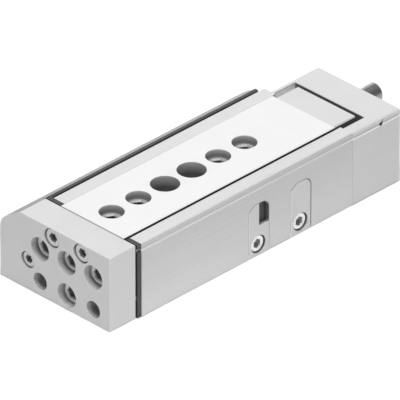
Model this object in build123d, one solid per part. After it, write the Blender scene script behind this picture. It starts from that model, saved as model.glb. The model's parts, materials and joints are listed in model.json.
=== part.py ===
from build123d import *
import os
from math import cos, radians, sin, tan

# Compact pneumatic slide table, drawn retracted.
# X runs across the table from its centreline, Y from the yoke plate to the end cap,
# Z up from the underside. The origin is midway between the two base holes.

# Driving dimensions, in millimetres

# Hole grid and stroke
pitch = 10.0
stroke = 40.0

# Fits and clearances
seat_gap = 0.02
running_gap = 0.08
slide_gap = 0.5
line_gap = 0.12
rest_gap = 0.3

# Housing, an extruded and machined aluminium body
housing_front = -30.4
housing_length = 79.6
housing_height = 22.6
side_x = 16.75
strip_x = 16.6
strip_edge = 0.15
rail_left_x = -16.35
drive_side_x = -24.2
ledge_drop = 8.2
channel_depth = 8.6
groove_top_drop = 1.3
groove_root_drop = 1.65
groove_low_drop = 2.15
groove_depth = 0.32
side_step_drop = 3.3
side_step_slope = 0.3
side_step_depth = 0.13
edge_round = 0.2

# Drive bore beside the guide, and its rod
bore_x = -14.7
bore_drop = 5.26
bore_r = 4.0
rod_r = 2.0
piston_length = 12.0
piston_rear_room = 5.2
piston_groove_r = 2.4
piston_seal_width = 1.6
piston_seal_inset = 1.2
piston_magnet_width = 3.0
nut_across = 4.0
nut_height = 1.4
bush_length = 8.0
seal_length = 2.4
circlip_thickness = 0.8
air_r = 0.9
air_x = -6.4

# Slide table
table_half = 11.75
table_neck = 1.0
table_rise = 0.5
table_flange = 2.4
table_edge = 0.15
table_lead = 1.9
table_rear_setback = 1.8
table_bottom_gap = 0.5

# Ball guide
ball_r = 1.2
ball_inset = 0.25
ball_drop = 4.0
ball_pitch = 6.4
ball_count = 6
cage_thickness = 0.7
cage_height = 3.2
cage_end = 1.9
cage_room = 1.0
raceway_thickness = 1.8
raceway_height = 3.4

# Rear stop plate of the table
tail_length = 8.8
tail_side_inset = 0.85
tail_drop = 0.55
tail_screw_x = 7.0
tail_screw_grip = 7.0

# Yoke plate
yoke_thickness = 9.6
yoke_rise = 0.15
yoke_left = -25.15
yoke_right = 16.2
bevel_top_x = -17.5
bevel_angle = 33.0
bevel_corner_r = 5.0
yoke_edge = 0.12
yoke_row_share = 0.1943
centring_r = 3.5
plug_head_r = 3.2
plug_head_depth = 2.2
plug_head_height = 2.8
plug_shank_r = 2.0
plug_length = 3.4
plain_hole_r = 2.55
blind_floor = 1.0
socket_across = 3.5
socket_depth = 2.3
socket_lead = 0.3

# Screws of the yoke plate: two into the table, one into the rod
yoke_screw_x = 5.5
yoke_screw_drop = 2.98
yoke_bore_r = 2.9
yoke_head_r = 2.75
yoke_head_height = 3.0
flush_recess = 0.55
yoke_shank_r = 1.5
yoke_screw_grip = 7.0
rod_bore_r = 2.5
rod_head_r = 2.36
rod_head_height = 2.5
rod_shank_r = 1.25
rod_screw_grip = 6.0
rod_socket_depth = 2.0
lobes_across = 2.9
lobes_depth = 1.5
rod_lobes_across = 2.6

# Bar on the drive side, which carries the front stop lug
bar_rear_setback = 0.8
bar_height = 8.0
bar_inner_x = -18.5
bar_wall = 1.95
bar_roof = 5.0
bar_foot = 6.0
tongue_length = 6.0
tongue_inset = 0.6
tongue_right_x = -19.4
tongue_drop = 5.2
tongue_hang = 1.45
bar_screw_drop = 7.35
bar_screw_r = 1.25
bar_head_r = 2.1
bar_head_height = 1.4
bar_head_recess = 0.6
bar_strip_thickness = 1.0
bar_strip_drop = 3.1
lug_length = 5.0
lug_screw_r = 0.8
lug_head_r = 1.5
lug_head_height = 0.9
lug_head_recess = 0.6

# Fixed front stop on the ledge of the housing
stop_block_length = 10.0
stop_block_left = -22.5
stop_block_right = -16.9
stop_screw_x = -20.5
stop_screw_pitch = 4.0
stop_screw_r = 1.0
stop_head_r = 1.5
stop_head_height = 1.1
stop_screw_grip = 3.6
bumper_x = -21.0
bumper_r = 1.1
bumper_proud = 1.6
bumper_depth = 2.2

# Front cover of the housing
cover_thickness = 1.4
cover_left_x = -17.6
cover_right_x = 16.5
cover_screw_r = 1.0
cover_screw_length = 5.0
cover_head_r = 1.8
cover_screw_right = (14.2, 6.0)
cover_screw_left = (-21.6, 3.4)

# End cap
cap_length = 18.3
cap_side_x = 16.85
cap_strip_x = 16.75
cap_strip_edge = 0.35
cap_round = 0.4
cap_left_x = -13.8
cap_ledge_drop = 9.3
pocket_left_gap = 1.05
pocket_right_gap = 1.45
pocket_rear_gap = 1.2
cap_edge = 0.2
notch_from_joint = 11.1
notch_drop = 1.7
notch_r = 0.7
notch_depth = 3.0
notch_slit = 0.45
port_r = 2.1
port_depth = 6.0
cap_screw_r = 1.25
cap_screw_grip = 7.0
cap_head_r = 2.25
cap_head_height = 2.5
cap_socket_across = 2.0
cap_socket_depth = 1.3
cap_bore_r = 2.4
cap_bore_depth = 2.7
cap_screw_right = 13.2
cap_screw_left = -21.4
cap_screw_low_right = 4.6
cap_screw_low_left = 3.2
cap_screw_under_pocket = 3.0
cap_screw_under_ledge = 2.7
spigot_length = 2.8
o_ring_section = 0.6
o_ring_groove_width = 1.4

# Rear absorber on the table's centreline
absorber_drop = 5.2
absorber_r = 2.9
absorber_proud = 8.0
absorber_front_gap = 0.2
absorber_edge = 0.5
absorber_socket_across = 2.5
absorber_socket_depth = 2.5
buffer_r = 1.7
buffer_length = 6.0
buffer_stroke = 1.0
elastomer_length = 4.0
elastomer_gap = 0.3
clamp_y_from_rear = 5.0
clamp_screw_r = 1.25
clamp_screw_length = 6.0

# Side recesses with the switch clamps
recess_screw_front = 13.35
recess_pitch = 16.0
recess_width = 7.9
recess_screw_offset = 3.7
recess_top_drop = 6.4
recess_depth = 3.0
recess_bevel_y = 2.3
recess_bevel_z = 1.5
recess_round = 2.7
window_width = 3.9
window_height = 7.2
switch_setback = 1.3
recess_screw_z = 3.55
recess_bore_r = 2.7
recess_head_r = 2.5
recess_head_height = 1.7
recess_head_setback = 0.45
rear_clamp_gap = 0.35
recess_shank_r = 1.5
recess_screw_grip = 5.0

# Base holes
base_hole_r = 2.25
base_bore_r = 3.8
base_bore_depth = 5.0
access_r = 4.05
base_thread_r = 1.65
base_thread_depth = 8.0
base_centring_depth = 1.6

# Switch slot along the drive side
slot_x = -22.4
slot_z = 6.9
slot_r = 1.45
slot_mouth = 1.9

# Places worked out from the driving dimensions
housing_rear = housing_front + housing_length
ledge_z = housing_height - ledge_drop
channel_floor_z = housing_height - channel_depth
groove_top_z = housing_height - groove_top_drop
groove_root_z = housing_height - groove_root_drop
groove_low_z = housing_height - groove_low_drop
side_step_top_z = housing_height - side_step_drop
side_step_low_z = side_step_top_z - side_step_slope
bore_z = ledge_z - bore_drop
table_top = housing_height + table_rise
table_neck_half = table_half - table_neck
table_front = housing_front - table_lead
table_rear = housing_rear - table_rear_setback
tail_half = table_half - tail_side_inset
ball_x = table_half - ball_inset
ball_z = housing_height - ball_drop
cage_half = ball_pitch * (ball_count - 1) / 2 + cage_end
cage_middle = table_rear - stroke / 2 - cage_half - cage_room
yoke_height = housing_height + yoke_rise
yoke_row_low = yoke_height * yoke_row_share
yoke_screw_z = yoke_height - yoke_screw_drop
yoke_front = table_front - yoke_thickness
bar_rear = housing_rear - bar_rear_setback
bar_bottom = yoke_height - bar_height
bar_roof_z = yoke_height - bar_roof
bar_screw_z = yoke_height - bar_screw_drop
tongue_top_z = yoke_height - tongue_drop
cover_front = housing_front - cover_thickness
cap_rear = housing_rear + cap_length
tail_rear = table_rear + tail_length
pocket_rear = tail_rear + pocket_rear_gap
channel_half = table_half + slide_gap
table_bottom = channel_floor_z + table_bottom_gap
tail_top = table_top - tail_drop
yoke_row_high = yoke_row_low + pitch
table_hole_y = [-2.5 * pitch, -1.5 * pitch, 1.5 * pitch, 2.5 * pitch]
base_hole_y = [-0.5 * pitch, 0.5 * pitch]
bush_rear = housing_front + bush_length
seal_rear = bush_rear + seal_length
circlip_rear = seal_rear + circlip_thickness
piston_rear = housing_rear - piston_rear_room
piston_front = piston_rear - piston_length
lug_front = bar_rear - lug_length
bumper_tip = lug_front - stroke - rest_gap
stop_block_rear = bumper_tip - bumper_proud
stop_block_front = stop_block_rear - stop_block_length
stop_block_top = bar_roof_z - rest_gap
bumper_z = (ledge_z + stop_block_top) / 2
cap_ledge_z = housing_height - cap_ledge_drop
cap_screw_places = [
    (cap_screw_right, cap_screw_low_right),
    (cap_screw_right, channel_floor_z - cap_screw_under_pocket),
    (cap_screw_left, cap_screw_low_left),
    (cap_screw_left, cap_ledge_z - cap_screw_under_ledge),
]
pocket_left_x = -table_half - pocket_left_gap
pocket_right_x = table_half + pocket_right_gap
notch_y = housing_rear + notch_from_joint
notch_z = housing_height - notch_drop
absorber_z = housing_height - absorber_drop
base_bore_z = channel_floor_z - base_bore_depth
recess_top = housing_height - recess_top_drop
window_bottom = recess_top - window_height
recess_screw_y = [recess_screw_front, recess_screw_front + recess_pitch]
plug_places = [(-pitch, yoke_row_high), (0, yoke_row_high), (pitch, yoke_row_high), (0, yoke_row_low)]
absorber_rear = cap_rear + absorber_proud
absorber_front = pocket_rear - absorber_front_gap
buffer_tip = tail_rear + rest_gap
buffer_rear = buffer_tip + buffer_length
elastomer_front = buffer_rear + buffer_stroke + elastomer_gap
clamp_y = cap_rear - clamp_y_from_rear


# Helpers

def block(x0, x1, y0, y1, z0, z1):
    """Box between two corners."""
    middle = Pos((x0 + x1) / 2, (y0 + y1) / 2, (z0 + z1) / 2)
    return middle * Box(x1 - x0, y1 - y0, z1 - z0)


def bar_x(y, z, r, x0, x1):
    """Round bar along X."""
    return Pos((x0 + x1) / 2, y, z) * Rot(0, 90, 0) * Cylinder(r, x1 - x0)


def bar_y(x, z, r, y0, y1):
    """Round bar along Y."""
    return Pos(x, (y0 + y1) / 2, z) * Rot(90, 0, 0) * Cylinder(r, y1 - y0)


def bar_z(x, y, r, z0, z1):
    """Round bar along Z."""
    return Pos(x, y, (z0 + z1) / 2) * Cylinder(r, z1 - z0)


def outline(corners):
    """Closed face with corners (u, v, radius), listed anticlockwise."""
    points = [(u, v) for u, v, _ in corners]
    radii = [r for _, _, r in corners]
    return make_face(FilletPolyline(*points, radius=radii, close=True).edges())


def along_y(face, y0, y1):
    """Face in X and Z, drawn out from y0 to y1."""
    plane = Plane(origin=(0, y0, 0), x_dir=(1, 0, 0), z_dir=(0, -1, 0))
    return extrude(plane * face, amount=-(y1 - y0))


def along_x(face, x0, x1):
    """Face in Y and Z, drawn out from x0 to x1."""
    plane = Plane(origin=(x0, 0, 0), x_dir=(0, 1, 0), z_dir=(1, 0, 0))
    return extrude(plane * face, amount=x1 - x0)


def hexagon(across):
    return RegularPolygon(across / 2, 6, major_radius=False)


def six_lobes(across):
    """Outline of a six-lobe socket, measured over opposite lobes."""
    steps = ((-14, 0.5), (14, 0.5), (24, 0.42), (36, 0.42))
    corners = []
    for turn in range(0, 360, 60):
        for angle, radius in steps:
            spot = radians(turn + angle)
            corners.append((across * radius * cos(spot), across * radius * sin(spot)))
    return make_face(Polyline(*corners, close=True).edges())


def socket_screw(head_r, head_height, shank_r, length, key_face, socket):
    """Screw with its head's face at the origin and its shank down -Z."""
    head = Pos(0, 0, -head_height / 2) * Cylinder(head_r, head_height)
    head = chamfer(head.edges().group_by(Axis.Z)[-1], head_r / 12)
    shank = Pos(0, 0, -head_height - length / 2) * Cylinder(shank_r, length)
    return head + shank - extrude(key_face, amount=-socket)


def plug_screw(length):
    """Headed plug of the Ø7 holes, with a lead-in round its hexagon socket."""
    key = hexagon(socket_across)
    screw = socket_screw(plug_head_r, plug_head_height, plug_shank_r, length, key, socket_depth)
    lead = extrude(hexagon(socket_across + 2 * socket_lead), amount=-socket_lead, taper=45)
    return screw - lead


def countersunk_screw(head_r, head_height, shank_r, length, across, socket):
    """Flat-headed screw with its head's face at the origin and its shank down -Z."""
    head = Pos(0, 0, -head_height / 2) * Cone(shank_r, head_r, head_height)
    shank = Pos(0, 0, -head_height - length / 2) * Cylinder(shank_r, length)
    key = extrude(hexagon(across), amount=-socket)
    return head + shank - key


# Turns that point a screw's shank along an axis
towards_plus_y = Rot(90, 0, 0)
towards_minus_y = Rot(-90, 0, 0)
towards_minus_x = Rot(0, 90, 0)
towards_plus_x = Rot(0, -90, 0)


# Housing and what is fixed to it

def side_profile(left, side, low_top, corner):
    """Outline shared by the housing and the end cap: right side, then left side."""
    right = [
        (drive_side_x, 0, corner),
        (side, 0, corner),
        (side, housing_height, 0),
    ]
    return right, [
        (left, housing_height, 0),
        (left, low_top, 0),
        (drive_side_x, low_top, 1.2),
    ]


def side_groove(side, strip, edge, step, y0, y1):
    """Groove high on the right side, the bevelled strip above it and the step below it."""
    root = side - groove_depth
    return along_y(outline([
        (root, groove_root_z, 0),
        (side - step, groove_low_z, 0),
        (side - step, side_step_top_z, 0),
        (side, side_step_low_z, 0),
        (side + 1, side_step_low_z, 0),
        (side + 1, housing_height + 1, 0),
        (strip - edge, housing_height, 0),
        (strip, housing_height - edge, 0),
        (strip, groove_top_z, 0),
        (root, groove_top_z, 0),
    ]), y0, y1)


def recess_face(y_screw, shrink):
    """Outline of a side recess in Y and Z, or of the clamp that fills it."""
    y0 = y_screw - recess_screw_offset + shrink
    y1 = y_screw - recess_screw_offset + recess_width - shrink
    top = recess_top - shrink
    return outline([
        (y0, 0, 0),
        (y1, 0, 0),
        (y1, top, recess_round - shrink),
        (y0 + recess_bevel_y, top, 0),
        (y0, top - recess_bevel_z, 0),
    ])


def window_face(y_screw, grow):
    """Open corner of the front clamp, where its switch shows."""
    y1 = y_screw - recess_screw_offset + recess_width
    return outline([
        (y1 - window_width - grow, window_bottom - grow, 0.8),
        (y1 + grow, window_bottom - grow, 0),
        (y1 + grow, recess_top + grow, 0),
        (y1 - window_width - grow, recess_top + grow, 0),
    ])


def housing():
    right, left = side_profile(rail_left_x, side_x, ledge_z, edge_round)
    channel = [
        (channel_half, housing_height, 0),
        (channel_half, channel_floor_z, 0),
        (-channel_half, channel_floor_z, 0),
        (-channel_half, housing_height, 0),
    ]
    body = along_y(outline(right + channel + left), housing_front, housing_rear)
    body -= side_groove(side_x, strip_x, strip_edge, side_step_depth, housing_front, housing_rear)
    body -= bar_y(bore_x, bore_z, bore_r, housing_front, housing_rear)
    body -= air_channel()
    body -= switch_slot()
    for side in (-1, 1):
        body -= raceway_box(side)
    for y in base_hole_y:
        body -= bar_z(0, y, base_hole_r, 0, base_bore_z)
        body -= bar_z(0, y, base_bore_r, base_bore_z, channel_floor_z)
    for y in table_hole_y:
        body -= bar_z(0, y, base_thread_r, 0, base_thread_depth)
        body -= bar_z(0, y, centring_r, 0, base_centring_depth)
    for y in recess_screw_y:
        body -= along_x(recess_face(y, 0), side_x - recess_depth, side_x + 1)
        thread_end = side_x - recess_depth - recess_screw_grip
        body -= bar_x(y, recess_screw_z, recess_shank_r + seat_gap, thread_end, side_x)
    for x, z in cap_screw_places:
        body -= bar_y(x, z, cap_screw_r + seat_gap, housing_rear - cap_screw_grip, housing_rear)
    for x, z in (cover_screw_right, cover_screw_left):
        body -= bar_y(x, z, cover_screw_r + seat_gap, housing_front, housing_front + cover_screw_length)
    for x, y in stop_screw_places():
        body -= bar_z(x, y, stop_screw_r + seat_gap, ledge_z - stop_screw_grip - 0.4, ledge_z)
    return body


def air_channel():
    """Drilling that feeds the front of the bore, and its cross hole behind the rod seal."""
    cross_y = circlip_rear + air_r + 0.6
    long_hole = bar_y(air_x, bore_z, air_r, cross_y - air_r, housing_rear)
    return long_hole + bar_x(cross_y, bore_z, air_r, bore_x, air_x)


def switch_slot():
    """Undercut slot for a round switch, along the drive side."""
    half = slot_mouth / 2
    mouth = block(drive_side_x, slot_x, housing_front, housing_rear, slot_z - half, slot_z + half)
    return bar_y(slot_x, slot_z, slot_r, housing_front, housing_rear) + mouth


def raceway_box(side):
    x0 = channel_half
    x1 = channel_half + raceway_thickness
    low = ball_z - raceway_height / 2
    box = block(x0, x1, housing_front, housing_rear, low, low + raceway_height)
    return box if side > 0 else mirror(box, about=Plane.YZ)


def raceway(side):
    """Hardened strip with the ball groove, let into the housing's rail."""
    return raceway_box(side) - bar_y(side * ball_x, ball_z, ball_r + running_gap, housing_front, housing_rear)


def front_cover():
    """Thin moulded cover on the housing's front face, open for the table and the rod."""
    face = outline([
        (drive_side_x, 0, edge_round),
        (cover_right_x, 0, edge_round),
        (cover_right_x, housing_height, 0),
        (table_half + slide_gap / 2, housing_height, 0),
        (table_half + slide_gap / 2, channel_floor_z + table_bottom_gap / 2, 0),
        (-table_half - slide_gap / 2, channel_floor_z + table_bottom_gap / 2, 0),
        (-table_half - slide_gap / 2, housing_height, 0),
        (cover_left_x, housing_height, 0),
        (cover_left_x, ledge_z, 0),
        (drive_side_x, ledge_z, 0),
    ])
    cover = along_y(face, cover_front, housing_front)
    notch_x = cover_right_x - groove_depth * 1.4
    cover -= block(notch_x, cover_right_x, cover_front, housing_front, groove_low_z, groove_top_z)
    cover -= bar_y(bore_x, bore_z, rod_r + rest_gap, cover_front, housing_front)
    for x, z in (cover_screw_right, cover_screw_left):
        cover -= bar_y(x, z, cover_screw_r + seat_gap, cover_front, housing_front)
        cone = Cone(cover_screw_r, cover_head_r, cover_head_r - cover_screw_r)
        cover -= Pos(x, cover_front + (cover_head_r - cover_screw_r) / 2, z) * Rot(90, 0, 0) * cone
    return cover


def cover_screws():
    height = cover_head_r - cover_screw_r
    grip = cover_thickness - height + cover_screw_length - 0.3
    screw = countersunk_screw(cover_head_r - seat_gap, height, cover_screw_r, grip, 1.3, 0.6)
    places = (cover_screw_right, cover_screw_left)
    return [Pos(x, cover_front, z) * towards_plus_y * screw for x, z in places]


def rod_bush():
    ring = bar_y(bore_x, bore_z, bore_r - seat_gap, housing_front, bush_rear)
    return ring - bar_y(bore_x, bore_z, rod_r + running_gap, housing_front, bush_rear)


def rod_seal():
    ring = bar_y(bore_x, bore_z, bore_r - seat_gap, bush_rear, seal_rear)
    ring -= bar_y(bore_x, bore_z, rod_r + running_gap, bush_rear, seal_rear)
    lip = bar_y(bore_x, bore_z, rod_r + 1.1, seal_rear - 0.9, seal_rear)
    return ring - (lip - bar_y(bore_x, bore_z, rod_r + 0.5, seal_rear - 0.9, seal_rear))


def rod_circlip():
    """Split ring that holds the seal and the bush in the bore."""
    ring = bar_y(bore_x, bore_z, bore_r - seat_gap, seal_rear, circlip_rear)
    ring -= bar_y(bore_x, bore_z, rod_r + 0.9, seal_rear, circlip_rear)
    return ring - block(bore_x - 0.8, bore_x + 0.8, seal_rear, circlip_rear, bore_z - bore_r, bore_z)


def end_cap():
    right, left = side_profile(cap_left_x, cap_side_x, cap_ledge_z, cap_round)
    cap = along_y(outline(right + left), housing_rear, cap_rear)
    cap = chamfer(cap.faces().sort_by(Axis.Y)[-1].edges(), cap_edge)
    cap -= side_groove(cap_side_x, cap_strip_x, cap_strip_edge, 0, housing_rear, cap_rear)
    cap += bar_y(bore_x, bore_z, bore_r - seat_gap, housing_rear - spigot_length, housing_rear)
    cap -= block(pocket_left_x, pocket_right_x, housing_rear, pocket_rear, channel_floor_z, housing_height)
    cap -= bar_y(0, absorber_z, absorber_r + seat_gap, pocket_rear, cap_rear)
    clamp_low = absorber_z - absorber_r - clamp_screw_length - 0.6
    cap -= bar_z(0, clamp_y, clamp_screw_r + 0.4, 0, clamp_low)
    cap -= bar_z(0, clamp_y, clamp_screw_r + seat_gap, 0, absorber_z - absorber_r + 0.3)
    for x, z in cap_screw_places:
        cap -= bar_y(x, z, cap_screw_r + 0.1, housing_rear, cap_rear)
        cap -= bar_y(x, z, cap_bore_r, cap_rear - cap_bore_depth, cap_rear)
    for x in (bore_x, bore_x + pitch):
        cap -= bar_y(x, bore_z, port_r, cap_rear - port_depth, cap_rear)
    cap -= bar_y(bore_x, bore_z, air_r, housing_rear - spigot_length, cap_rear)
    cap -= bar_y(air_x, bore_z, air_r, housing_rear, cap_rear - port_depth + 1)
    cap -= o_ring_groove()
    cap -= bar_x(notch_y, notch_z, notch_r, cap_side_x - notch_depth, cap_side_x)
    slit_top = notch_z + 1.2
    slit_y = notch_y + notch_r - notch_slit
    cap -= block(cap_strip_x - 0.8, cap_side_x, slit_y, slit_y + notch_slit, notch_z, slit_top)
    return cap


def o_ring_y():
    return housing_rear - spigot_length / 2


def o_ring_groove():
    """Groove round the end cap's spigot."""
    y0 = o_ring_y() - o_ring_groove_width / 2
    y1 = o_ring_y() + o_ring_groove_width / 2
    outer = bar_y(bore_x, bore_z, bore_r, y0, y1)
    return outer - bar_y(bore_x, bore_z, bore_r - 2 * o_ring_section, y0, y1)


def bore_o_ring():
    """Seal between the bore and the end cap's spigot."""
    y0 = o_ring_y() - o_ring_section
    y1 = o_ring_y() + o_ring_section
    ring = bar_y(bore_x, bore_z, bore_r - seat_gap, y0, y1)
    return ring - bar_y(bore_x, bore_z, bore_r - 2 * o_ring_section + seat_gap, y0, y1)


def cap_screws():
    length = cap_length - cap_bore_depth + cap_screw_grip - 0.3
    key = hexagon(cap_socket_across)
    screw = socket_screw(cap_head_r, cap_head_height, cap_screw_r, length, key, cap_socket_depth)
    face = cap_rear - cap_bore_depth + cap_head_height
    return [Pos(x, face, z) * towards_minus_y * screw for x, z in cap_screw_places]


def absorber_sleeve():
    """Screwed sleeve with a hexagon socket at its rear end."""
    sleeve = bar_y(0, absorber_z, absorber_r, absorber_front, absorber_rear)
    sleeve = chamfer(sleeve.edges().group_by(Axis.Y)[-1], absorber_edge)
    inside_end = elastomer_front + elastomer_length + seat_gap
    sleeve -= bar_y(0, absorber_z, buffer_r + running_gap, absorber_front, inside_end)
    key = along_y(hexagon(absorber_socket_across), absorber_rear - absorber_socket_depth, absorber_rear)
    return sleeve - Pos(0, 0, absorber_z) * key


def absorber_buffer():
    """Sliding buffer, with a domed tip that the table's stop plate meets."""
    stem = bar_y(0, absorber_z, buffer_r, buffer_tip, buffer_rear)
    return fillet(stem.edges().group_by(Axis.Y)[0], 0.7)


def absorber_elastomer():
    return bar_y(0, absorber_z, buffer_r, elastomer_front, elastomer_front + elastomer_length)


def absorber_clamp_screw():
    top = absorber_z - absorber_r - seat_gap
    screw = bar_z(0, clamp_y, clamp_screw_r, top - clamp_screw_length, top)
    key = extrude(hexagon(1.3), amount=1.2)
    return screw - Pos(0, clamp_y, top - clamp_screw_length) * key


def switch_clamp(y_screw, with_window):
    """Clamp block, flush in its side recess; the plain one leaves a wider gap behind it."""
    clamp = along_x(recess_face(y_screw, line_gap), side_x - recess_depth, side_x)
    if with_window:
        clamp -= along_x(window_face(y_screw, 0), side_x - recess_depth, side_x)
    else:
        back = Pos(0, line_gap - rear_clamp_gap, 0)
        clamp &= back * along_x(recess_face(y_screw, line_gap), side_x - recess_depth, side_x)
        clamp += along_x(recess_face(y_screw, line_gap), side_x - recess_depth, side_x) & front_half(y_screw)
    seat = side_x - recess_head_setback - recess_head_height
    clamp -= bar_x(y_screw, recess_screw_z, recess_bore_r, seat, side_x)
    return clamp - bar_x(y_screw, recess_screw_z, recess_shank_r + 0.1, side_x - recess_depth, side_x)


def front_half(y_screw):
    return block(side_x - recess_depth, side_x, y_screw - recess_width, y_screw, 0, recess_top)


def switch_clamp_front():
    return switch_clamp(recess_screw_y[0], True)


def switch_clamp_rear():
    return switch_clamp(recess_screw_y[1], False)


def position_switch():
    """Dark switch body behind the front clamp's window."""
    face = window_face(recess_screw_y[0], -line_gap)
    keep = recess_face(recess_screw_y[0], line_gap)
    x0 = side_x - recess_depth
    x1 = side_x - switch_setback
    return along_x(face, x0, x1) & along_x(keep, x0, x1)


def clamp_screws():
    length = recess_depth - recess_head_setback - recess_head_height + recess_screw_grip - 0.3
    lobes = six_lobes(lobes_across)
    screw = socket_screw(recess_head_r, recess_head_height, recess_shank_r, length, lobes, lobes_depth)
    face = side_x - recess_head_setback
    return [Pos(face, y, recess_screw_z) * towards_minus_x * screw for y in recess_screw_y]


def stop_screw_places():
    middle = (stop_block_front + stop_block_rear - bumper_depth) / 2
    half = stop_screw_pitch / 2
    return [(stop_screw_x, middle - half), (stop_screw_x, middle + half)]


def stop_block():
    """Fixed stop on the housing's ledge, under the moving bar."""
    left = stop_block_left
    right = stop_block_right
    body = block(left, right, stop_block_front, stop_block_rear, ledge_z, stop_block_top)
    body = chamfer(body.edges().filter_by(Axis.Y).group_by(Axis.Z)[-1], 0.4)
    body -= bar_y(bumper_x, bumper_z, bumper_r + seat_gap, stop_block_rear - bumper_depth, stop_block_rear)
    for x, y in stop_screw_places():
        body -= bar_z(x, y, stop_screw_r + seat_gap, ledge_z, stop_block_top)
        body -= bar_z(x, y, stop_head_r + 0.1, stop_block_top - stop_head_height - 0.1, stop_block_top)
    return body


def stop_block_screws():
    length = stop_block_top - ledge_z - stop_head_height - 0.1 + stop_screw_grip
    screw = socket_screw(stop_head_r, stop_head_height, stop_screw_r, length, hexagon(1.3), 0.7)
    face = stop_block_top - 0.1
    return [Pos(x, y, face) * screw for x, y in stop_screw_places()]


def stop_bumper():
    """Elastomer plug that the bar's lug meets at full stroke."""
    plug = bar_y(bumper_x, bumper_z, bumper_r, stop_block_rear - bumper_depth + 0.1, bumper_tip)
    return chamfer(plug.edges().group_by(Axis.Y)[-1], 0.3)


# Table, yoke plate and what moves with them

def slide_table():
    under = table_top - table_flange
    edge = table_edge
    face = outline([
        (-table_neck_half, table_bottom, 0.4),
        (table_neck_half, table_bottom, 0.4),
        (table_neck_half, under, 0),
        (table_half, under, 0),
        (table_half, table_top - edge, 0),
        (table_half - edge, table_top, 0),
        (-table_half + edge, table_top, 0),
        (-table_half, table_top - edge, 0),
        (-table_half, under, 0),
        (-table_neck_half, under, 0),
    ])
    table = along_y(face, table_front, table_rear)
    for side in (-1, 1):
        table -= bar_y(side * ball_x, ball_z, ball_r + running_gap, table_front, table_rear)
    for y in base_hole_y:
        table -= bar_z(0, y, access_r, table_bottom, table_top)
    face = table_top - plug_head_depth
    seat = face - plug_head_height
    for y in table_hole_y:
        table -= bar_z(0, y, centring_r, face, table_top)
        table -= bar_z(0, y, plug_head_r + seat_gap, seat, face)
        table -= bar_z(0, y, plug_shank_r + seat_gap, table_bottom, seat)
    for x in (-yoke_screw_x, yoke_screw_x):
        table -= bar_y(x, yoke_screw_z, yoke_shank_r + seat_gap, table_front, table_front + yoke_screw_grip)
    for x in (-tail_screw_x, tail_screw_x):
        table -= bar_y(x, absorber_z, cap_screw_r + seat_gap, table_rear - tail_screw_grip, table_rear)
    return table


def table_plug_screws():
    length = table_top - plug_head_depth - plug_head_height - table_bottom - 0.3
    screw = plug_screw(length)
    return [Pos(0, y, table_top - plug_head_depth) * screw for y in table_hole_y]


def slide_tail():
    """Stop plate behind the table, which meets the absorber."""
    edge = 0.3
    face = outline([
        (-tail_half, table_bottom, 0.4),
        (tail_half, table_bottom, 0.4),
        (tail_half, tail_top - edge, 0),
        (tail_half - edge, tail_top, 0),
        (-tail_half + edge, tail_top, 0),
        (-tail_half, tail_top - edge, 0),
    ])
    tail = along_y(face, table_rear, tail_rear)
    for x in (-tail_screw_x, tail_screw_x):
        tail -= bar_y(x, absorber_z, cap_screw_r + 0.1, table_rear, tail_rear)
        tail -= bar_y(x, absorber_z, cap_bore_r, tail_rear - cap_bore_depth, tail_rear)
    return tail


def tail_screws():
    length = tail_length - cap_bore_depth + tail_screw_grip - 0.5
    key = hexagon(cap_socket_across)
    screw = socket_screw(cap_head_r, cap_head_height, cap_screw_r, length, key, cap_socket_depth)
    face = tail_rear - cap_bore_depth + cap_head_height
    return [Pos(x, face, absorber_z) * towards_minus_y * screw for x in (-tail_screw_x, tail_screw_x)]


def bevel_z(x):
    """Height of the bevel that runs along the yoke plate and the bar."""
    return yoke_height - (bevel_top_x - x) * tan(radians(bevel_angle))


def yoke_plate():
    face = outline([
        (yoke_left, 0, edge_round),
        (yoke_right, 0, edge_round),
        (yoke_right, yoke_height, edge_round),
        (bevel_top_x, yoke_height, 0.8),
        (yoke_left, bevel_z(yoke_left), bevel_corner_r),
    ])
    plate = along_y(face, yoke_front, table_front)
    plate = chamfer(plate.faces().sort_by(Axis.Y)[0].edges(), yoke_edge)
    face = yoke_front + plug_head_depth
    seat = face + plug_head_height
    for x, z in plug_places:
        plate -= bar_y(x, z, centring_r, yoke_front, face)
        plate -= bar_y(x, z, plug_head_r + seat_gap, face, seat)
        plate -= bar_y(x, z, plug_shank_r + seat_gap, seat, table_front - blind_floor)
    for x in (-pitch, pitch):
        plate -= bar_y(x, yoke_row_low, plain_hole_r, yoke_front, table_front - blind_floor)
    for x in (-yoke_screw_x, yoke_screw_x):
        plate -= bar_y(x, yoke_screw_z, yoke_bore_r, yoke_front, yoke_front + yoke_head_height + flush_recess)
        plate -= bar_y(x, yoke_screw_z, yoke_shank_r + 0.1, yoke_front, table_front)
    plate -= bar_y(bore_x, bore_z, rod_bore_r, yoke_front, yoke_front + rod_head_height + flush_recess)
    plate -= bar_y(bore_x, bore_z, rod_shank_r + 0.1, yoke_front, table_front)
    plate -= bar_y(bore_x, bore_z, rod_r + seat_gap, table_front - rod_socket_depth, table_front)
    plate -= tongue_box()
    plate -= bar_x(bar_screw_y(), bar_screw_z, bar_screw_r + 0.1, yoke_left, tongue_right_x)
    head_seat = yoke_left + bar_head_recess + bar_head_height
    plate -= bar_x(bar_screw_y(), bar_screw_z, bar_head_r + 0.1, yoke_left, head_seat)
    return plate


def tongue_box():
    left = yoke_left + bar_wall + tongue_inset
    low = bar_bottom - tongue_hang
    return block(left, tongue_right_x, table_front - tongue_length, table_front, low, tongue_top_z)


def bar_screw_y():
    return table_front - tongue_length / 2


def yoke_plug_screws():
    seat = yoke_front + plug_head_depth + plug_head_height
    length = table_front - blind_floor - seat - 0.2
    screw = plug_screw(length)
    face = yoke_front + plug_head_depth
    return [Pos(x, face, z) * towards_plus_y * screw for x, z in plug_places]


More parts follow.
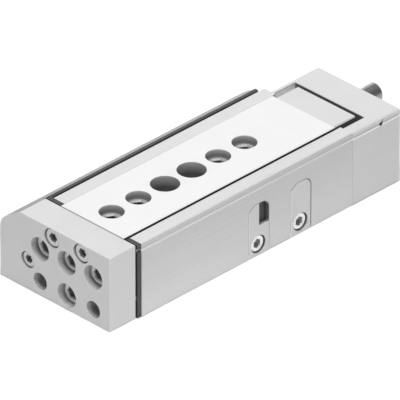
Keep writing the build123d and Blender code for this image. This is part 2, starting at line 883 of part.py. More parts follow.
def yoke_screws():
    length = yoke_thickness - yoke_head_height - flush_recess + yoke_screw_grip - 0.3
    lobes = six_lobes(lobes_across)
    screw = socket_screw(yoke_head_r, yoke_head_height, yoke_shank_r, length, lobes, lobes_depth)
    places = (-yoke_screw_x, yoke_screw_x)
    face = yoke_front + flush_recess
    return [Pos(x, face, yoke_screw_z) * towards_plus_y * screw for x in places]


def rod_screw():
    grip = rod_screw_grip - 0.3
    length = yoke_thickness - rod_head_height - rod_socket_depth - flush_recess + grip
    lobes = six_lobes(rod_lobes_across)
    screw = socket_screw(rod_head_r, rod_head_height, rod_shank_r, length, lobes, lobes_depth)
    return Pos(bore_x, yoke_front + flush_recess, bore_z) * towards_plus_y * screw


def stop_bar():
    """Bar that carries on the yoke plate's bevel along the drive side."""
    left = yoke_left
    arc_top = bevel_z(left)
    roofed = outline([
        (left, bar_bottom, 0.2),
        (left + bar_wall, bar_bottom, 0),
        (left + bar_wall, bar_roof_z, 0),
        (bar_inner_x, bar_roof_z, 0),
        (bar_inner_x, bevel_z(bar_inner_x), 0),
        (left, arc_top, bevel_corner_r),
    ])
    solid = outline([
        (left, bar_bottom, 0.2),
        (bar_inner_x, bar_bottom, 0),
        (bar_inner_x, bevel_z(bar_inner_x), 0),
        (left, arc_top, bevel_corner_r),
    ])
    bar = along_y(roofed, table_front, bar_rear)
    bar += along_y(solid, table_front, table_front + bar_foot)
    tongue = tongue_box()
    bar += tongue
    bar -= bar_x(bar_screw_y(), bar_screw_z, bar_screw_r + seat_gap, left, tongue_right_x)
    bar -= strip_box(yoke_height)
    lug_y = (lug_front + bar_rear) / 2
    bar -= bar_x(lug_y, bumper_z, lug_screw_r + 0.1, left, left + bar_wall)
    bar -= bar_x(lug_y, bumper_z, lug_head_r + 0.1, left, left + lug_head_recess + lug_head_height)
    return bar


def strip_box(top):
    foot = bar_strip_thickness / 2
    low = bevel_z(bar_inner_x - foot) - bar_strip_drop
    return block(bar_inner_x - foot, bar_inner_x + foot, table_front, bar_rear, low, top)


def bar_strip():
    """Dark strip let into the bar's inner edge, which narrows the gap to the housing."""
    return strip_box(bevel_z(bar_inner_x - bar_strip_thickness / 2))


def bar_screw():
    left = yoke_left
    length = tongue_right_x - left - bar_head_recess - bar_head_height - 0.2
    screw = socket_screw(bar_head_r, bar_head_height, bar_screw_r, length, hexagon(1.5), 0.8)
    return Pos(left + bar_head_recess, bar_screw_y(), bar_screw_z) * towards_plus_x * screw


def stop_lug():
    """Steel lug at the bar's rear end, which meets the fixed stop at full stroke."""
    left = yoke_left + bar_wall
    lug = block(left, bar_inner_x - bar_strip_thickness, lug_front, bar_rear, bar_bottom, bar_roof_z)
    lug -= bar_x((lug_front + bar_rear) / 2, bumper_z, lug_screw_r + seat_gap, left, left + 2.6)
    return chamfer(lug.edges().filter_by(Axis.Z).group_by(Axis.X)[-1], 0.3)


def lug_screw():
    left = yoke_left
    length = bar_wall - lug_head_recess - lug_head_height + 2.4
    screw = socket_screw(lug_head_r, lug_head_height, lug_screw_r, length, hexagon(1.2), 0.5)
    return Pos(left + lug_head_recess, (lug_front + bar_rear) / 2, bumper_z) * towards_plus_x * screw


def piston_rod():
    rod = bar_y(bore_x, bore_z, rod_r, table_front - rod_socket_depth, piston_front)
    rod += bar_y(bore_x, bore_z, rod_shank_r, piston_front, piston_rear + 0.2)
    return rod - bar_y(bore_x, bore_z, rod_shank_r + seat_gap, table_front - rod_socket_depth,
                       table_front - rod_socket_depth + rod_screw_grip)


def piston():
    body = bar_y(bore_x, bore_z, bore_r - running_gap, piston_front, piston_rear)
    body -= bar_y(bore_x, bore_z, rod_shank_r + seat_gap, piston_front, piston_rear)
    for y0, y1 in piston_grooves():
        ring = bar_y(bore_x, bore_z, bore_r, y0, y1) - bar_y(bore_x, bore_z, piston_groove_r, y0, y1)
        body -= ring
    return body


def piston_grooves():
    """Two seal grooves with the magnet's groove between them."""
    first = piston_front + piston_seal_inset
    magnet = (piston_front + piston_rear - piston_magnet_width) / 2
    last = piston_rear - piston_seal_inset - piston_seal_width
    return [
        (first, first + piston_seal_width),
        (magnet, magnet + piston_magnet_width),
        (last, last + piston_seal_width),
    ]


def piston_ring(y0, y1, outer):
    ring = bar_y(bore_x, bore_z, outer, y0 + seat_gap, y1 - seat_gap)
    return ring - bar_y(bore_x, bore_z, piston_groove_r + seat_gap, y0, y1)


def piston_seals():
    grooves = piston_grooves()
    outer = bore_r - running_gap / 2
    return [piston_ring(*grooves[0], outer), piston_ring(*grooves[2], outer)]


def piston_magnet():
    return piston_ring(*piston_grooves()[1], bore_r - 3 * running_gap)


def piston_nut():
    """Nut that clamps the piston on the rod's thin end."""
    end = piston_rear + nut_height
    nut = Pos(bore_x, 0, bore_z) * along_y(hexagon(nut_across), piston_rear, end)
    return nut - bar_y(bore_x, bore_z, rod_shank_r + seat_gap, piston_rear, end)


# Ball cages between the table and the raceways

def ball_places():
    first = cage_middle - ball_pitch * (ball_count - 1) / 2
    return [first + ball_pitch * i for i in range(ball_count)]


def ball_cage(side):
    x0 = side * ball_x - cage_thickness / 2
    low = ball_z - cage_height / 2
    front = cage_middle - cage_half
    rear = cage_middle + cage_half
    cage = block(x0, x0 + cage_thickness, front, rear, low, low + cage_height)
    for y in ball_places():
        cage -= bar_x(y, ball_z, ball_r + 0.05, x0, x0 + cage_thickness)
    return cage


def balls(side):
    return [Pos(side * ball_x, y, ball_z) * Sphere(ball_r) for y in ball_places()]


# Nodes and files

nodes = {
    "housing": housing(),
    "raceway_left": raceway(-1),
    "raceway_right": raceway(1),
    "front_cover": front_cover(),
    "front_cover_screws": cover_screws(),
    "rod_bush": rod_bush(),
    "rod_seal": rod_seal(),
    "rod_circlip": rod_circlip(),
    "end_cap": end_cap(),
    "end_cap_screws": cap_screws(),
    "bore_o_ring": bore_o_ring(),
    "absorber_sleeve": absorber_sleeve(),
    "absorber_elastomer": absorber_elastomer(),
    "absorber_clamp_screw": absorber_clamp_screw(),
    "absorber_buffer": absorber_buffer(),
    "switch_clamp_front": switch_clamp_front(),
    "switch_clamp_rear": switch_clamp_rear(),
    "switch_clamp_screws": clamp_screws(),
    "position_switch": position_switch(),
    "stop_block": stop_block(),
    "stop_block_screws": stop_block_screws(),
    "stop_bumper": stop_bumper(),
    "slide_table": slide_table(),
    "table_plug_screws": table_plug_screws(),
    "slide_tail": slide_tail(),
    "tail_screws": tail_screws(),
    "yoke_plate": yoke_plate(),
    "yoke_plug_screws": yoke_plug_screws(),
    "yoke_screws": yoke_screws(),
    "rod_screw": rod_screw(),
    "stop_bar": stop_bar(),
    "bar_strip": bar_strip(),
    "bar_screw": bar_screw(),
    "stop_lug": stop_lug(),
    "lug_screw": lug_screw(),
    "piston_rod": piston_rod(),
    "piston": piston(),
    "piston_seals": piston_seals(),
    "piston_magnet": piston_magnet(),
    "piston_nut": piston_nut(),
    "ball_cage_left": ball_cage(-1),
    "ball_cage_right": ball_cage(1),
    "balls_left": balls(-1),
    "balls_right": balls(1),
}

os.makedirs("parts", exist_ok=True)
for name, shape in nodes.items():
    solid = Compound(children=shape) if isinstance(shape, list) else shape
    export_step(solid, f"parts/{name}.step")
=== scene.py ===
import bpy
import json
import math
from mathutils import Matrix, Vector


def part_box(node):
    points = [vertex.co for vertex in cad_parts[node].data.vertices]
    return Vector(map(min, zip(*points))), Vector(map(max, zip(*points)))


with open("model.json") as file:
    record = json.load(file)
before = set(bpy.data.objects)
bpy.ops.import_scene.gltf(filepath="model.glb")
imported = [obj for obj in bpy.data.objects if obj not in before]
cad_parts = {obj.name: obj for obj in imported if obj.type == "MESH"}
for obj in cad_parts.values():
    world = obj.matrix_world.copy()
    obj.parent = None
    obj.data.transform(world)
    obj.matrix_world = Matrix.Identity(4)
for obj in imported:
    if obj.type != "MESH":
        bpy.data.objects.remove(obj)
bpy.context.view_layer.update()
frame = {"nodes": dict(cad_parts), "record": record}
nodes = frame["nodes"]
MM = 0.001


# Places and sizes of the model, in millimetres, read from the frame

def low(node):
    """Lowest corner of a node."""
    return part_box(node)[0] / MM


def high(node):
    """Highest corner of a node."""
    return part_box(node)[1] / MM


MOUNTS = {mount["name"]: mount for mount in frame["record"]["mounts"]}
PITCH = MOUNTS["base_through_holes"]["dims"]["spacing_y_mm"]
ACCESS_R = MOUNTS["front_access_bore"]["dims"]["r_mm"]
CENTRING_R = MOUNTS["table_centring_front"]["dims"]["r_mm"]
CENTRING_DEPTH = MOUNTS["table_centring_front"]["dims"]["length_mm"]
PLAIN_R = MOUNTS["yoke_plain_holes"]["dims"]["hole_r_mm"]
PLAIN_Z = MOUNTS["yoke_plain_holes"]["pos_m"][2] / MM

SIDE_X = high("housing").x
HOUSING_TOP = high("housing").z
HOUSING_REAR = high("housing").y
COVER_RIGHT = high("front_cover").x
CAP_RIGHT = high("end_cap").x
CAP_TOP = high("end_cap").z
TABLE_LEFT = low("slide_table").x
TABLE_RIGHT = high("slide_table").x
TABLE_TOP = high("slide_table").z
TAIL_BOTTOM = low("slide_tail").z
TAIL_RIGHT = high("slide_tail").x
TAIL_REAR = high("slide_tail").y
TAIL_TOP = high("slide_tail").z
YOKE_FRONT = low("yoke_plate").y
YOKE_REAR = high("yoke_plate").y
YOKE_RIGHT = high("yoke_plate").x
YOKE_TOP = high("yoke_plate").z
BAR_BOTTOM = low("stop_bar").z
STRIP_INNER = high("bar_strip").x
SWITCH_LOW = low("position_switch")
SWITCH_HIGH = high("position_switch")
CLAMP_FRONTS = (low("switch_clamp_front").y, low("switch_clamp_rear").y)
CLAMP_SCREWS_LOW = low("switch_clamp_screws")
CLAMP_SCREWS_HIGH = high("switch_clamp_screws")
CLAMP_SCREW_R = (CLAMP_SCREWS_HIGH.z - CLAMP_SCREWS_LOW.z) / 2
CLAMP_SCREW_Z = CLAMP_SCREWS_LOW.z + CLAMP_SCREW_R
CLAMP_SCREW_YS = (CLAMP_SCREWS_LOW.y + CLAMP_SCREW_R, CLAMP_SCREWS_HIGH.y - CLAMP_SCREW_R)

# Forms inside a node, which its box doesn't give
GROOVE_TOP = HOUSING_TOP - 1.3
GROOVE_ROOT = HOUSING_TOP - 1.65
GROOVE_BOTTOM = HOUSING_TOP - 2.15
POCKET_LEFT = TABLE_LEFT - 1.05
POCKET_RIGHT = TABLE_RIGHT + 1.45
POCKET_REAR = TAIL_REAR + 1.2
NOTCH_Y = HOUSING_REAR + 11.1
NOTCH_Z = CAP_TOP - 1.7
NOTCH_R = 0.7
BEVEL_RIGHT = -17.5
BEVEL_BOTTOM = 15.0

# Farther out than any surface of the model
BEYOND = 200


# Camera, at the photograph's angle. The picture's centre lies a little right of and below the aim,
# by shifts in millimetres.

AZIMUTH = math.radians(44.87)
ELEVATION = math.radians(31.504)
DISTANCE = 3.3623
AIM = Vector((-4.73, 8.1, 11.0)) * MM
SHIFT_RIGHT = 3.394
SHIFT_DOWN = 0.602
LENS = 1133.26
SENSOR_WIDTH = 36
NEAR_CLIP = 0.1
FAR_CLIP = 20


def make_camera():
    back = Vector((
        math.sin(AZIMUTH) * math.cos(ELEVATION),
        -math.cos(AZIMUTH) * math.cos(ELEVATION),
        math.sin(ELEVATION),
    ))
    right = Vector((math.cos(AZIMUTH), math.sin(AZIMUTH), 0))
    up = back.cross(right)
    centre = AIM + right * SHIFT_RIGHT * MM - up * SHIFT_DOWN * MM
    data = bpy.data.cameras.new("camera")
    data.lens = LENS
    data.sensor_width = SENSOR_WIDTH
    data.clip_start = NEAR_CLIP
    data.clip_end = FAR_CLIP
    camera = bpy.data.objects.new("camera", data)
    bpy.context.collection.objects.link(camera)
    camera.matrix_world = Matrix((
        (right.x, up.x, back.x, 0),
        (right.y, up.y, back.y, 0),
        (right.z, up.z, back.z, 0),
        (0, 0, 0, 1),
    ))
    camera.location = centre + back * DISTANCE
    bpy.context.scene.camera = camera


# Node helpers

# Softness of a tone's edge, in millimetres
TONE_EDGE = 0.1

# Painted gap shade starts this high above the floor, and is full this much higher, in millimetres
GAP_START = 0.3
GAP_FADE = 1.5

GAP_SAMPLES = 8
EDGE_SAMPLES = 6
RING_DISTORTION = 0.3

# The part of a noise's range that a ramp spreads out
NOISE_LOW = 0.3
NOISE_HIGH = 0.7


class Shader:
    """A node material with one Principled shader, whose textures lie in the object's own frame."""

    def __init__(self, name, **sockets):
        self.material = bpy.data.materials.new(name)
        self.material.use_nodes = True
        self.tree = self.material.node_tree
        self.tree.nodes.clear()
        self.output = self.add("ShaderNodeOutputMaterial")
        self.shader = self.add("ShaderNodeBsdfPrincipled")
        self.link(self.shader, "BSDF", self.output, "Surface")
        self.place = self.add("ShaderNodeTexCoord")
        for key, value in sockets.items():
            self.shader.inputs[key.replace("_", " ")].default_value = value

    def add(self, kind, **values):
        node = self.tree.nodes.new(kind)
        for key, value in values.items():
            setattr(node, key, value)
        return node

    def link(self, a, out, b, socket):
        self.tree.links.new(a.outputs[out], b.inputs[socket])

    def in_millimetres(self, stretch=(1, 1, 1)):
        """Object coordinates in millimetres, drawn out by stretch."""
        mapping = self.add("ShaderNodeMapping")
        mapping.inputs["Scale"].default_value = [1 / (MM * s) for s in stretch]
        self.link(self.place, "Object", mapping, "Vector")
        return mapping

    def noise(self, scale, stretch=(1, 1, 1), detail=3.0, roughness=0.55):
        """Noise with its scale in features per millimetre, drawn out by stretch."""
        node = self.add("ShaderNodeTexNoise")
        node.inputs["Scale"].default_value = scale
        node.inputs["Detail"].default_value = detail
        node.inputs["Roughness"].default_value = roughness
        self.link(self.in_millimetres(stretch), "Vector", node, "Vector")
        return node

    def rings(self, axis, pitch):
        """Fine rings across an axis, like the turns of a thread, pitch in millimetres."""
        node = self.add("ShaderNodeTexWave", bands_direction=axis)
        node.inputs["Scale"].default_value = math.pi / (10 * pitch)
        node.inputs["Distortion"].default_value = RING_DISTORTION
        self.link(self.in_millimetres(), "Vector", node, "Vector")
        return node

    def ramp(self, source, dark, light, start=NOISE_LOW, end=NOISE_HIGH, out="Fac"):
        """Colour ramp over a source, from dark to light."""
        node = self.add("ShaderNodeValToRGB")
        node.color_ramp.elements[0].position = start
        node.color_ramp.elements[1].position = end
        node.color_ramp.elements[0].color = colour(dark)
        node.color_ramp.elements[1].color = colour(light)
        self.link(source, out, node, "Fac")
        return node

    def multiply(self, base, other, factor=1.0):
        """Base colour times another one, as far as the factor says, which is a number or a node."""
        node = self.add("ShaderNodeMix", data_type="RGBA", blend_type="MULTIPLY")
        if isinstance(factor, float):
            node.inputs["Factor"].default_value = factor
        else:
            self.tree.links.new(factor.outputs[0], node.inputs["Factor"])
        for source, socket in ((base, "A"), (other, "B")):
            out = "Result" if source.type == "MIX" else 0
            self.tree.links.new(source.outputs[out], node.inputs[socket])
        return node

    def rise(self, source, out, start, end):
        """Zero at the start and one at the end, both in millimetres."""
        node = self.add("ShaderNodeMapRange")
        node.inputs["From Min"].default_value = start * MM
        node.inputs["From Max"].default_value = end * MM
        self.link(source, out, node, "Value")
        return node

    def times(self, a, b):
        node = self.add("ShaderNodeMath", operation="MULTIPLY")
        self.tree.links.new(a.outputs[0], node.inputs[0])
        self.tree.links.new(b.outputs[0], node.inputs[1])
        return node

    def span(self, axis, start, end, soft=TONE_EDGE):
        """One between two places along an axis, in millimetres, and zero beyond them."""
        parts = self.add("ShaderNodeSeparateXYZ")
        self.link(self.place, "Object", parts, "Vector")
        return self.times(
            self.rise(parts, axis, start, start + soft),
            self.rise(parts, axis, end, end - soft),
        )

    def inside(self, x=None, y=None, z=None):
        """One inside a box whose sides are given in millimetres, and zero outside it."""
        spans = [self.span(axis, *sides) for axis, sides in zip("XYZ", (x, y, z)) if sides]
        whole = spans[0]
        for other in spans[1:]:
            whole = self.times(whole, other)
        return whole

    def shaded(self, base, tones):
        """Base colour multiplied by each tone of painted shade and light inside its own box."""
        for tone, box in tones:
            flat = self.add("ShaderNodeRGB")
            flat.outputs[0].default_value = colour(tone)
            base = self.multiply(base, flat, self.inside(**box))
        return base

    def threaded(self, base, axis, dark, boxes):
        """Base colour with the turns of a thread, with painted shade in their grooves, inside each box.
        """
        turns = self.ramp(self.rings(axis, THREAD_PITCH), dark, 1.0, start=0.2)
        for box in boxes:
            base = self.multiply(base, turns, self.inside(**box))
        return base

    def colour_with_painted_gap_shade(self, base, reach=1.6, dark=0.12, start=0.12, end=0.72):
        """Base colour with painted shade in gaps that are narrower than reach, in millimetres."""
        gap = self.add("ShaderNodeAmbientOcclusion", samples=GAP_SAMPLES)
        gap.inputs["Distance"].default_value = reach * MM
        shade = self.ramp(gap, dark, 1.0, start, end, out="AO")
        above = self.span("Z", GAP_START, BEYOND, GAP_FADE)
        self.link(self.multiply(base, shade, above), "Result", self.shader, "Base Color")

    def roughness_from(self, source, smooth, rough):
        node = self.add("ShaderNodeMapRange")
        node.inputs["From Min"].default_value = NOISE_LOW
        node.inputs["From Max"].default_value = NOISE_HIGH
        node.inputs["To Min"].default_value = smooth
        node.inputs["To Max"].default_value = rough
        self.link(source, "Fac", node, "Value")
        self.link(node, "Result", self.shader, "Roughness")

    def bump(self, sources, edge):
        """Chain of bumps, each a (source, depth in millimetres, strength), over a softened edge."""
        last = self.add("ShaderNodeBevel", samples=EDGE_SAMPLES)
        last.inputs["Radius"].default_value = edge * MM
        for source, depth, strength in sources:
            node = self.add("ShaderNodeBump")
            node.inputs["Distance"].default_value = depth * MM
            node.inputs["Strength"].default_value = strength
            self.link(source, "Fac", node, "Height")
            self.link(last, "Normal", node, "Normal")
            last = node
        self.link(last, "Normal", self.shader, "Normal")


def colour(value):
    """Grey or colour as four numbers."""
    if isinstance(value, (int, float)):
        return (value, value, value, 1)
    return (*value, 1)


def grey(value, warm=0.0):
    """Near grey with a small tint, warm above zero and cool below."""
    return (value * (1 + warm), value, value * (1 - warm))


# Kinds of surface

THREAD_PITCH = 0.7
DRAWN_ALONG_Y = (1, 60, 1)


def drawn_metal(
        name, tone, metallic=0.12, rough=0.6, line=0.06, gloss=0.5, tones=(), threads=(), **gap):
    """Extruded, ground or turned metal: fine lines along Y over a faint cloudiness."""
    shader = Shader(name, Metallic=metallic, Specular_IOR_Level=gloss)
    lines = shader.noise(3.2, DRAWN_ALONG_Y, detail=4)
    clouds = shader.noise(0.09, detail=2)
    grain = shader.noise(9.0, detail=2)
    base = shader.ramp(lines, grey(tone * (1 - line)), grey(tone * (1 + line / 2)))
    cloudy = shader.ramp(clouds, grey(0.975), grey(1.0))
    base = shader.shaded(shader.multiply(base, cloudy), tones)
    if threads:
        base = shader.threaded(base, *threads)
    shader.colour_with_painted_gap_shade(base, **gap)
    shader.roughness_from(lines, rough - 0.06, rough + 0.08)
    shader.bump([(lines, 0.02, 0.25), (grain, 0.01, 0.15)], edge=0.12)
    return shader.material


def blasted_metal(name, tone, tones=(), threads=(), **gap):
    """Machined and anodised metal with a fine matt grain."""
    shader = Shader(name, Metallic=0.12)
    grain = shader.noise(7.0, detail=3)
    clouds = shader.noise(0.12, detail=2)
    base = shader.ramp(grain, grey(tone * 0.96), grey(tone * 1.02))
    cloudy = shader.ramp(clouds, grey(0.97), grey(1.0))
    base = shader.shaded(shader.multiply(base, cloudy), tones)
    if threads:
        base = shader.threaded(base, *threads)
    shader.colour_with_painted_gap_shade(base, **gap)
    shader.roughness_from(grain, 0.55, 0.67)
    shader.bump([(grain, 0.015, 0.3)], edge=0.12)
    return shader.material


def moulded_plastic(name, tone, rough=0.5, warm=0, tones=(), dark=0.5):
    shader = Shader(name)
    grain = shader.noise(5.0, detail=4)
    clouds = shader.noise(0.3, detail=2)
    base = shader.ramp(clouds, grey(tone * 0.88, warm), grey(tone * 1.08, warm))
    shader.colour_with_painted_gap_shade(shader.shaded(base, tones), dark=dark)
    shader.roughness_from(grain, rough - 0.08, rough + 0.1)
    shader.bump([(grain, 0.03, 0.35)], edge=0.1)
    return shader.material


def plain_metal(name, tone, rough=0.3, metallic=0.7, tones=()):
    """Plated, blackened, polished or sintered metal with a faint grain."""
    shader = Shader(name, Metallic=metallic)
    grain = shader.noise(4.0, detail=3)
    base = shader.ramp(grain, grey(tone * 0.9), grey(tone))
    shader.colour_with_painted_gap_shade(shader.shaded(base, tones), dark=0.9)
    shader.roughness_from(grain, rough - 0.06, rough + 0.1)
    shader.bump([(grain, 0.01, 0.25)], edge=0.08)
    return shader.material


def threaded_steel(name, tone, axis, pitch):
    """Blackened steel under the turns of a fine thread."""
    shader = Shader(name, Metallic=0.8)
    turns = shader.rings(axis, pitch)
    grain = shader.noise(4.0, detail=3)
    # The grooves of the turns take a little painted shade
    base = shader.ramp(turns, grey(tone * 0.9), grey(tone), start=0.1, end=0.6)
    shader.colour_with_painted_gap_shade(base, dark=0.6)
    shader.roughness_from(grain, 0.27, 0.43)
    shader.bump([(turns, 0.06, 0.3), (grain, 0.01, 0.2)], edge=0.08)
    return shader.material


def screw_steel(node, tone, side, chamfer, socket_shade):
    """Steel for screws whose heads look to one side, such as -Y, with painted shade below the head's
    chamfer.
    """
    axis = side[1].lower()
    bottom = getattr(low(node), axis)
    top = getattr(high(node), axis)
    if side[0] == "-":
        below = (bottom + chamfer, BEYOND)
    else:
        below = (-BEYOND, top - chamfer)
    return plain_metal(node + "_steel", tone, metallic=0.5, tones=[(socket_shade, {axis: below})])


# Painted shade and painted light by place, where bores, pockets and gaps take less light or more: a
# factor, and a box in millimetres. A third number on an axis is how softly the tone starts and ends
# there.

def around(middle, half):
    return (middle - half, middle + half)


# Painted shade in the table's bores, darker low in the plug holes, and on its side face in the gap
# beside it
ACCESS_HALF = ACCESS_R + 0.25
PLUG_HALF = CENTRING_R + 0.1
PLUG_ROWS = [
    (-2.5 * PITCH - PLUG_HALF, -1.5 * PITCH + PLUG_HALF),
    (1.5 * PITCH - PLUG_HALF, 2.5 * PITCH + PLUG_HALF),
]
PLUG_WALL = (TABLE_TOP - CENTRING_DEPTH - 0.1, TABLE_TOP - 0.25)
PLUG_WALL_LOW = (TABLE_TOP - 3.2, TABLE_TOP - 0.5, 0.9)
PLUG_HOLES = [{"x": around(0, PLUG_HALF), "y": row, "z": PLUG_WALL} for row in PLUG_ROWS]
TABLE_TONES = [
    (0.2, {
        "x": around(0, ACCESS_HALF),
        "y": around(0, PITCH / 2 + ACCESS_HALF),
        "z": (-BEYOND, TABLE_TOP + 0.1, 3.5),
    }),
    *[(0.85, hole) for hole in PLUG_HOLES],
    *[(0.52, {**hole, "z": PLUG_WALL_LOW}) for hole in PLUG_HOLES],
    (0.08, {"x": (TABLE_RIGHT - 0.15, BEYOND), "z": (0, TABLE_TOP - 0.2)}),
]
TABLE_THREADS = ("Z", 0.8, PLUG_HOLES)
# Painted shade on the tail's right face, where it stands in a gap
TAIL_TONES = [
    (0.3, {"x": (TAIL_RIGHT - 0.15, BEYOND), "z": (TAIL_BOTTOM - 0.5, TAIL_TOP - 0.35)}),
]

# Painted shade on the side face, darker towards its top, painted light on the lip of its groove, and
# painted shade in the switch window
GROOVE_LIP_PAINTED_LIGHT = (1.4, {"x": (SIDE_X - 0.5, BEYOND), "z": (GROOVE_BOTTOM - 0.1, GROOVE_ROOT)})
HOUSING_TONES = [
    (0.88, {"x": (SIDE_X - 0.55, BEYOND), "z": (3, BEYOND, 20)}),
    GROOVE_LIP_PAINTED_LIGHT,
    (0.25, {
        "x": (SWITCH_LOW.x - 0.75, SIDE_X - 0.15),
        "y": (SWITCH_HIGH.y - 0.13, SWITCH_HIGH.y + 0.57),
        "z": (SWITCH_LOW.z + 0.08, SWITCH_HIGH.z + 0.72),
    }),
]
# A painted highlight on a narrow band near the top of the cover's right edge
COVER_TONES = [
    (9.0, {"x": (COVER_RIGHT - 1, COVER_RIGHT - 0.25), "z": (GROOVE_TOP - 0.9, GROOVE_TOP + 0.1)}),
]

# The clamps: painted shade on the walls of the window and round the screw heads, and painted light on
# the front edges
HEAD_POCKET_HALF = CLAMP_SCREW_R + 0.6
HEAD_POCKET_Z = around(CLAMP_SCREW_Z, HEAD_POCKET_HALF)
CLAMP_TONES = [
    (0.5, {
        "x": (0, SIDE_X - 0.35),
        "y": (SWITCH_LOW.y - 0.47, SWITCH_HIGH.y + 0.37),
        "z": (SWITCH_LOW.z - 0.52, SWITCH_HIGH.z + 0.32),
    }),
    *[
        (0.25, {"x": (0, SIDE_X), "y": around(y, HEAD_POCKET_HALF), "z": HEAD_POCKET_Z})
        for y in CLAMP_SCREW_YS
    ],
    *[(1.8, {"y": (y - 0.37, y + 0.16)}) for y in CLAMP_FRONTS],
]

# The bar, with painted shade darker towards its top and its rear, and painted light on the strip's
# inner face
BAR_SHADE = (BAR_BOTTOM + 0.7, BEYOND, 4)
BAR_TONES = [
    (0.61, {"z": BAR_SHADE}),
    (0.7, {"y": (-5, BEYOND, 35), "z": BAR_SHADE}),
]
STRIP_TONES = [(2.0, {"x": (STRIP_INNER - 0.05, 0)})]

# The yoke plate: painted shade on its bevel and in its bores, and painted light in its plain holes,
# whose threads have painted shade in their grooves
PLAIN_HALF = PLAIN_R + 0.35
PLAIN_HOLES = [
    {
        "x": around(x, PLAIN_HALF),
        "y": (YOKE_FRONT + 0.4, YOKE_REAR - 0.7),
        "z": around(PLAIN_Z, PLAIN_HALF),
    }
    for x in (-PITCH, PITCH)
]
YOKE_TONES = [
    (0.51, {
        "x": (-BEYOND, BEVEL_RIGHT - 0.1),
        "y": (YOKE_FRONT + 0.2, BEYOND),
        "z": (BEVEL_BOTTOM, BEYOND),
    }),
    (0.8, {
        "x": (BEVEL_RIGHT - 1, YOKE_RIGHT - 0.6),
        "y": (YOKE_FRONT + 0.2, YOKE_REAR - 0.7),
        "z": (1, YOKE_TOP - 0.75),
    }),
    *[(1.2, hole) for hole in PLAIN_HOLES],
]
YOKE_THREADS = ("Y", 0.6, PLAIN_HOLES)

# The end cap: painted light on the left wall of its pocket, painted shade on its rear and right walls
# and in the notch, and painted light on the groove's lip as on the housing
POCKET_WALL = (TAIL_BOTTOM, CAP_TOP - 0.2)
CAP_TONES = [
    (2.3, {
        "x": (POCKET_LEFT - 0.6, POCKET_LEFT + 0.2),
        "y": (HOUSING_REAR + 0.1, POCKET_REAR + 0.1),
        "z": POCKET_WALL,
    }),
    (0.25, {
        "x": (POCKET_LEFT - 0.1, POCKET_RIGHT + 0.1),
        "y": (POCKET_REAR - 0.2, POCKET_REAR + 0.5),
        "z": POCKET_WALL,
    }),
    (0.35, {
        "x": around(POCKET_RIGHT, 0.3),
        "y": (HOUSING_REAR - 0.2, POCKET_REAR + 0.5),
        "z": POCKET_WALL,
    }),
    (0.35, {
        "x": (POCKET_RIGHT - 0.2, CAP_RIGHT - 0.35),
        "y": around(NOTCH_Y, NOTCH_R + 0.2),
        "z": (NOTCH_Z - NOTCH_R - 0.2, NOTCH_Z + NOTCH_R + 0.6),
    }),
    GROOVE_LIP_PAINTED_LIGHT,
]


# Materials of the pieces

ALUMINIUM = 0.67


def make_materials():
    return {
        "housing": drawn_metal(
            "extruded_aluminium", 0.68, tones=HOUSING_TONES, reach=1.2, dark=0.3, start=0.08, end=0.45),
        "cap": blasted_metal("cap_aluminium", ALUMINIUM, CAP_TONES, reach=0.8, dark=0.6),
        "yoke": blasted_metal("yoke_aluminium", ALUMINIUM, YOKE_TONES, YOKE_THREADS),
        "tail": blasted_metal("tail_aluminium", ALUMINIUM, TAIL_TONES),
        "bar": drawn_metal("bar_aluminium", 0.61, tones=BAR_TONES),
        "table": drawn_metal(
            "ground_steel", 0.79, metallic=0.03, rough=0.62, line=0.015, gloss=0.25,
            tones=TABLE_TONES, threads=TABLE_THREADS),
        "clamp": blasted_metal("clamp_aluminium", ALUMINIUM, CLAMP_TONES),
        "plastic": moulded_plastic("dark_plastic", 0.05),
        "cover_plastic": moulded_plastic("cover_plastic", 0.05, tones=COVER_TONES),
        "strip_plastic": moulded_plastic("strip_plastic", 0.045, tones=STRIP_TONES, dark=1.0),
        "nut_steel": plain_metal("bright_screw_steel", 0.85),
        "sleeve_steel": threaded_steel("sleeve_steel", 0.38, "Y", pitch=0.75),
        "dark_steel": plain_metal("blackened_steel", 0.16, rough=0.38, metallic=0.6),
        "hard_steel": drawn_metal("hardened_steel", 0.45, metallic=0.7, rough=0.3),
        "ball_steel": plain_metal("bearing_steel", 0.8, rough=0.12, metallic=0.95),
        "bronze": plain_metal("bearing_bronze", 0.4, rough=0.45),
        "rubber": moulded_plastic("black_rubber", 0.03, rough=0.7),
        "elastomer": moulded_plastic("buffer_elastomer", 0.06, rough=0.6),
        "buffer": moulded_plastic("buffer_plastic", 0.6, rough=0.4, warm=0.02),
        "cage": moulded_plastic("cage_plastic", 0.3, warm=0.08),
        "magnet": plain_metal("magnet_material", 0.08, rough=0.5),
    }


NODE_MATERIALS = {
    "housing": "housing",
    "raceway_left": "hard_steel",
    "raceway_right": "hard_steel",
    "front_cover": "cover_plastic",
    "rod_bush": "bronze",
    "rod_seal": "rubber",
    "rod_circlip": "hard_steel",
    "end_cap": "cap",
    "bore_o_ring": "rubber",
    "absorber_sleeve": "sleeve_steel",
    "absorber_elastomer": "elastomer",
    "absorber_clamp_screw": "dark_steel",
    "absorber_buffer": "buffer",
    "switch_clamp_front": "clamp",
    "switch_clamp_rear": "clamp",
    "position_switch": "plastic",
    "stop_block": "hard_steel",
    "stop_block_screws": "dark_steel",
    "stop_bumper": "elastomer",
    "slide_table": "table",
    "slide_tail": "tail",
    "yoke_plate": "yoke",
    "stop_bar": "bar",
    "bar_strip": "strip_plastic",
    "stop_lug": "hard_steel",
    "piston_rod": "hard_steel",
    "piston": "bar",
    "piston_seals": "rubber",
    "piston_magnet": "magnet",
    "piston_nut": "nut_steel",
    "ball_cage_left": "cage",
    "ball_cage_right": "cage",
    "balls_left": "ball_steel",
    "balls_right": "ball_steel",
}
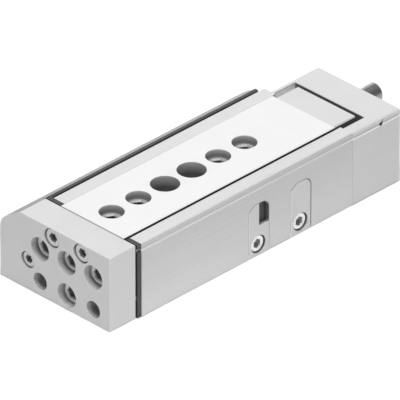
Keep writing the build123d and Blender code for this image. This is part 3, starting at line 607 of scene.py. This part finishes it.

# Node, tone, side that the heads look to, depth of the head's chamfer, and tone of the painted shade in
# the socket
SCREWS = [
    ("table_plug_screws", 0.6, "+Z", 0.36, 0.2),
    ("yoke_plug_screws", 0.9, "-Y", 0.32, 0.42),
    ("yoke_screws", 0.6, "-Y", 0.28, 0.7),
    ("rod_screw", 0.6, "-Y", 0.24, 0.7),
    ("switch_clamp_screws", 0.94, "+X", 0.28, 0.6),
    ("front_cover_screws", 0.85, "-Y", 0.2, 0.7),
    ("end_cap_screws", 0.7, "+Y", 0.25, 0.5),
    ("tail_screws", 0.6, "+Y", 0.25, 0.5),
    ("bar_screw", 0.85, "-X", 0.22, 0.5),
    ("lug_screw", 0.85, "-X", 0.18, 0.5),
]


def give(node, material):
    for slot in nodes[node].material_slots:
        slot.material = material


def dress_nodes():
    materials = make_materials()
    for node, kind in NODE_MATERIALS.items():
        give(node, materials[kind])
    for node, *look in SCREWS:
        give(node, screw_steel(node, *look))


# Floor and lights, in metres and watts

FLOOR_HALF = 6.0
FLOOR_GAP = 0.00002
WORLD_STRENGTH = 0.01
CENTRE = (0, 0, 0)

# A large key and an even top light far off, a weak one from behind, and low fills close by, each
# with its name, place, target, size and power
LIGHTS = [
    ("key", (0.2, -0.28, 1.2), CENTRE, 0.5, 12.9),
    ("top", (0, 0.15, 1.3), CENTRE, 0.6, 6.05),
    ("rear_left", (-0.8, 0.8, 0.45), CENTRE, 0.5, 1.36),
    ("side_low", (0.22, -0.11, 0.03), (0.017, 0, 0.005), 0.06, 0.085),
    ("rear_left_low", (-0.17, 0.16, 0.03), (-0.02, 0.03, 0.02), 0.06, 0.082),
    ("rear_low", (-0.08, 0.22, 0.05), (-0.02, 0.05, 0.02), 0.08, 0.02),
]


def make_floor():
    shader = Shader("floor_paint", Roughness=0.9)
    clouds = shader.noise(0.004, detail=1)
    shader.colour_with_painted_gap_shade(shader.ramp(clouds, grey(0.93), grey(0.95)))
    mesh = bpy.data.meshes.new("floor")
    half = FLOOR_HALF
    points = [(-half, -half, 0), (half, -half, 0), (half, half, 0), (-half, half, 0)]
    mesh.from_pydata(points, [], [(0, 1, 2, 3)])
    mesh.materials.append(shader.material)
    floor = bpy.data.objects.new("floor", mesh)
    floor.location.z = -FLOOR_GAP
    bpy.context.collection.objects.link(floor)


def make_world():
    world = bpy.data.worlds.new("world")
    world.use_nodes = True
    background = world.node_tree.nodes["Background"]
    background.inputs["Color"].default_value = (1, 1, 1, 1)
    background.inputs["Strength"].default_value = WORLD_STRENGTH
    bpy.context.scene.world = world


def area_light(name, place, target, size, power):
    """Square soft light."""
    data = bpy.data.lights.new(name, "AREA")
    data.size = size
    data.energy = power
    light = bpy.data.objects.new(name, data)
    bpy.context.collection.objects.link(light)
    light.location = place
    direction = Vector(target) - Vector(place)
    light.rotation_mode = "QUATERNION"
    light.rotation_quaternion = direction.to_track_quat("-Z", "Y")


# The scene

make_camera()
dress_nodes()
make_floor()
make_world()
for light in LIGHTS:
    area_light(*light)

scene = bpy.context.scene
scene.view_settings.view_transform = "Standard"
